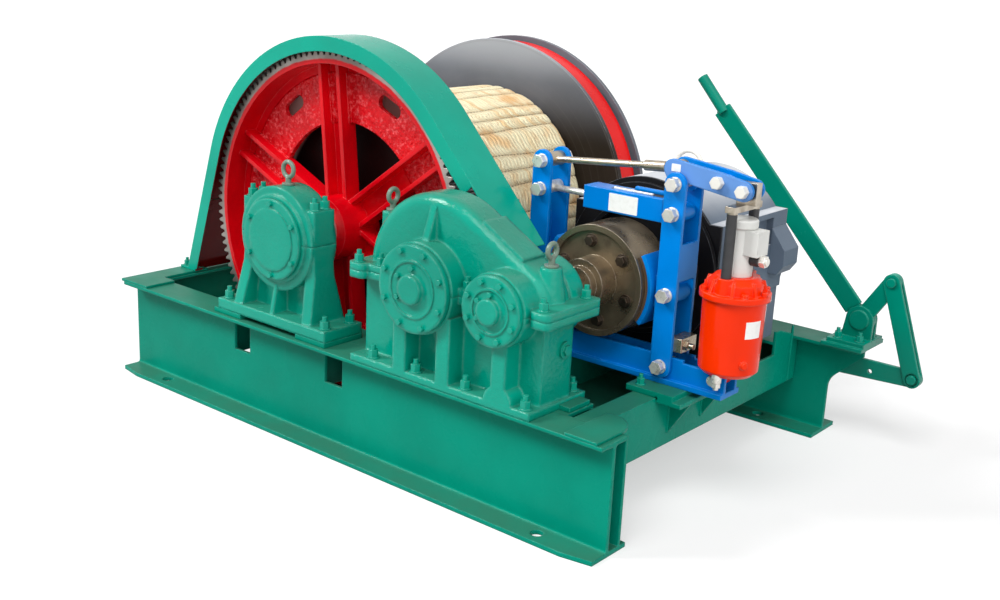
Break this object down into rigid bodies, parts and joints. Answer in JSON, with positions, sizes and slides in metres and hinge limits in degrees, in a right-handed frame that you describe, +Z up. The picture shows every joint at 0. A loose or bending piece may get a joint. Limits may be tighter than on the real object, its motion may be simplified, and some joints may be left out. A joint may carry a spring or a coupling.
{
  "type": "electric winch",
  "caption": "Slow electric winch: straw-wrapped drum with open bull gear, closed gearbox, thruster shoe brake, motor and hand-lever band brake on a welded bed.",
  "frame": {"origin": "on the floor, at the centre of the four foundation bolt holes", "axes": "+X along the beams towards the hand lever, +Y along the drum shaft from the bull gear's side to the band brake, +Z up"},
  "size_m": [2.173, 1.309, 1.1219],
  "materials": {
    "green_paint": "gloss",
    "gear_red_paint": "gloss",
    "band_red_paint": "satin",
    "brake_blue_paint": "gloss",
    "thruster_orange_paint": "gloss",
    "motor_grey_paint": "satin",
    "bright_steel": "satin",
    "dark_steel": "satin",
    "wheel_steel": "satin",
    "white_plastic": "satin",
    "black_tube": "satin",
    "friction_lining": "matt",
    "straw_matting": "matt"
  },
  "bodies": {
    "frame": {"front_beam": "green_paint", "rear_beam": "green_paint", "left_cross_channel": "green_paint", "middle_cross_channel": "green_paint", "right_cross_channel": "green_paint", "bed_plate": "green_paint", "deck_plates": "green_paint", "brake_bracket": "green_paint", "bearing_covers": "green_paint", "pedestal_bolts": "green_paint", "cover_bolts": "green_paint", "gear_guard": "green_paint", "gearbox_base": "green_paint", "gearbox_cover": "green_paint", "gearbox_caps": "green_paint", "gearbox_bolts": "green_paint", "lever_bracket": "green_paint", "frame_bolts": "green_paint", "front_pedestal": "green_paint", "front_pedestal_cap": "green_paint", "rear_pedestal": "green_paint", "rear_pedestal_cap": "green_paint", "band_mounts": "green_paint", "brake_band": "band_red_paint", "brake_base": "brake_blue_paint", "thruster_body": "thruster_orange_paint", "motor_housing": "motor_grey_paint", "motor_end_shields": "motor_grey_paint", "motor_terminal_box": "motor_grey_paint", "bearings": "bright_steel", "lifting_eyes": "bright_steel", "brake_pins": "bright_steel", "thruster_motor": "white_plastic", "band_lining": "friction_lining"},
    "drum": {"drum_shaft": "bright_steel", "drum_barrel": "dark_steel", "brake_flange": "dark_steel", "straw_wrap": "straw_matting", "bull_gear": "gear_red_paint"},
    "output": {"output_shaft": "bright_steel", "large_gear": "bright_steel", "open_pinion": "bright_steel"},
    "input": {"input_shaft": "bright_steel", "brake_wheel": "wheel_steel", "coupling_half": "wheel_steel", "motor_rotor": "bright_steel"},
    "left_arm": {"left_brake_arm": "brake_blue_paint", "left_brake_shoe": "brake_blue_paint", "left_arm_pins": "bright_steel"},
    "right_arm": {"right_brake_arm": "brake_blue_paint", "right_brake_shoe": "brake_blue_paint", "right_arm_pins": "bright_steel", "spring_box": "brake_blue_paint"},
    "tie": {"tie_rod": "bright_steel"},
    "release_lever": {"brake_lever": "brake_blue_paint"},
    "thruster": {"thruster_rods": "black_tube"},
    "lever": {"hand_lever": "green_paint"},
    "link": {"lever_link": "green_paint"},
    "band_shaft": {"brake_shaft": "green_paint", "lower_arm": "green_paint"}
  },
  "joints": [
    {"name": "drum_spin", "type": "hinge", "parent": "frame", "child": "drum", "pos_m": [-0.247, 0, 0.562], "axis": [0, 1, 0], "continuous": true},
    {"name": "output_spin", "type": "hinge", "parent": "frame", "child": "output", "pos_m": [0.33686, 0, 0.549], "axis": [0, 1, 0], "continuous": true},
    {"name": "input_spin", "type": "hinge", "parent": "frame", "child": "input", "pos_m": [0.59286, 0, 0.549], "axis": [0, 1, 0], "continuous": true},
    {"name": "thruster_lift", "type": "slide", "parent": "frame", "child": "thruster", "axis": [0, 0, 1], "range_m": [0, 0.05], "stiffness_N_per_m": 6000, "springref_m": -0.03},
    {"name": "left_arm_swing", "type": "hinge", "parent": "frame", "child": "left_arm", "pos_m": [0.38386, -0.104, 0.357], "axis": [0, -1, 0], "range_deg": [0, 0.6]},
    {"name": "right_arm_swing", "type": "hinge", "parent": "frame", "child": "right_arm", "pos_m": [0.80186, -0.104, 0.357], "axis": [0, 1, 0], "range_deg": [0, 0.6]},
    {"name": "release_lever_tip", "type": "hinge", "parent": "right_arm", "child": "release_lever", "pos_m": [0.80186, -0.104, 0.837], "axis": [0, -1, 0], "range_deg": [0, 17]},
    {"name": "tie_rod_swing", "type": "hinge", "parent": "left_arm", "child": "tie", "pos_m": [0.38386, -0.104, 0.837], "axis": [0, -1, 0], "range_deg": [-1.6, 0]},
    {"name": "hand_lever_pull", "type": "hinge", "parent": "frame", "child": "lever", "pos_m": [1.016, 0.62, 0.375], "axis": [0, -1, 0], "range_deg": [0, 15]},
    {"name": "link_swing", "type": "hinge", "parent": "lever", "child": "link", "pos_m": [1.096, 0.62, 0.504], "axis": [0, -1, 0], "range_deg": [-7.7, 0]},
    {"name": "band_shaft_turn", "type": "hinge", "parent": "frame", "child": "band_shaft", "pos_m": [0.355, 0.62, 0.215], "axis": [0, -1, 0], "range_deg": [0, 2.2]}
  ],
  "couplings": [
    {"joint": "output_spin", "follows": "drum_spin", "ratio": -7.5882},
    {"joint": "input_spin", "follows": "drum_spin", "ratio": 36.561},
    {"joint": "left_arm_swing", "follows": "thruster_lift", "rad_per_m": 0.2009},
    {"joint": "right_arm_swing", "follows": "thruster_lift", "rad_per_m": 0.2009},
    {"joint": "release_lever_tip", "follows": "thruster_lift", "rad_per_m": 5.8034},
    {"joint": "tie_rod_swing", "follows": "thruster_lift", "rad_per_m": -0.53392},
    {"joint": "link_swing", "follows": "hand_lever_pull", "ratio": -0.50484},
    {"joint": "band_shaft_turn", "follows": "hand_lever_pull", "ratio": 0.14366}
  ]
}
